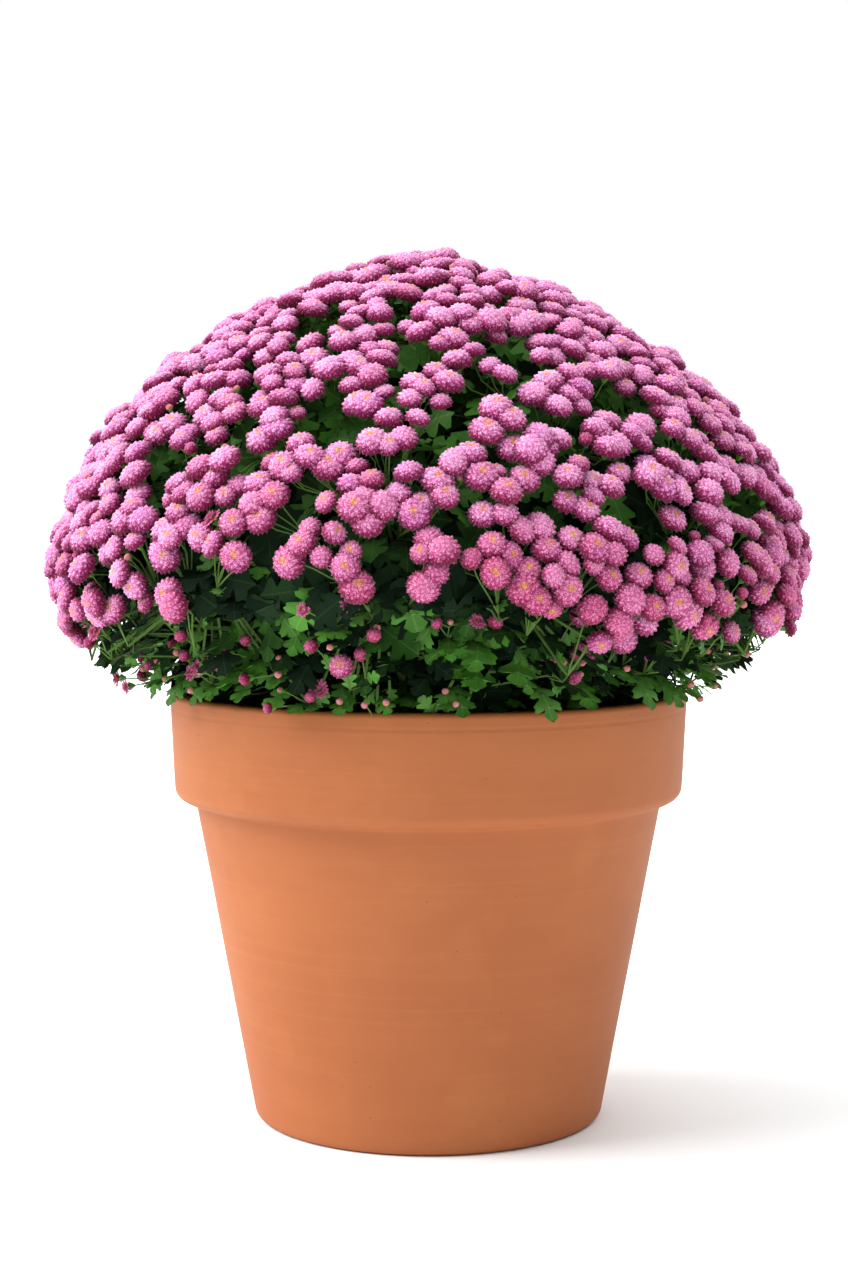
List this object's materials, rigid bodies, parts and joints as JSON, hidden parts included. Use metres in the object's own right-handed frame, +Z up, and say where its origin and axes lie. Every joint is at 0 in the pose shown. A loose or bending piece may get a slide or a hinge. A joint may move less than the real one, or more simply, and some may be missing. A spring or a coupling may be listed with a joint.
{
  "type": "pot chrysanthemum",
  "caption": "Pot chrysanthemum: a dense dome of pink pompon blooms over lobed green leaves, growing in a round terracotta pot with a deep collar.",
  "frame": {"origin": "centre of the pot's underside, on the surface that it stands on", "axes": "+Z up along the pot's axis; the pictured side of the plant faces -Y, and +X is to the right in the picture"},
  "size_m": [0.6001, 0.5996, 0.675],
  "materials": {
    "terracotta": "matte fired clay",
    "soil": "moist crumbly peat",
    "leaf": "soft matte leaf with a faint sheen",
    "petal": "soft matte petals"
  },
  "bodies": {
    "root": {"pot": "terracotta", "soil": "soil", "leafy_stem_01": "leaf", "leafy_stem_02": "leaf", "leafy_stem_03": "leaf", "leafy_stem_04": "leaf", "leafy_stem_05": "leaf", "leafy_stem_06": "leaf", "leafy_stem_07": "leaf", "leafy_stem_08": "leaf", "leafy_stem_09": "leaf", "leafy_stem_10": "leaf", "leafy_stem_11": "leaf", "leafy_stem_12": "leaf", "leafy_stem_13": "leaf", "leafy_stem_14": "leaf", "leafy_stem_15": "leaf", "leafy_stem_16": "leaf", "leafy_stem_17": "leaf", "leafy_stem_18": "leaf", "leafy_stem_19": "leaf", "leafy_stem_20": "leaf", "leafy_stem_21": "leaf", "leafy_stem_22": "leaf", "leafy_stem_23": "leaf", "leafy_stem_24": "leaf", "bloom_cluster_01": "petal", "bloom_cluster_02": "petal", "bloom_cluster_03": "petal", "bloom_cluster_04": "petal", "bloom_cluster_05": "petal", "bloom_cluster_06": "petal", "bloom_cluster_07": "petal", "bloom_cluster_08": "petal", "bloom_cluster_09": "petal", "bloom_cluster_10": "petal", "bloom_cluster_11": "petal", "bloom_cluster_12": "petal", "bloom_cluster_13": "petal", "bloom_cluster_14": "petal", "bloom_cluster_15": "petal", "bloom_cluster_16": "petal", "bloom_cluster_17": "petal", "bloom_cluster_18": "petal", "bloom_cluster_19": "petal", "bloom_cluster_20": "petal", "bloom_cluster_21": "petal", "bloom_cluster_22": "petal", "bloom_cluster_23": "petal", "bloom_cluster_24": "petal"}
  },
  "joints": []
}
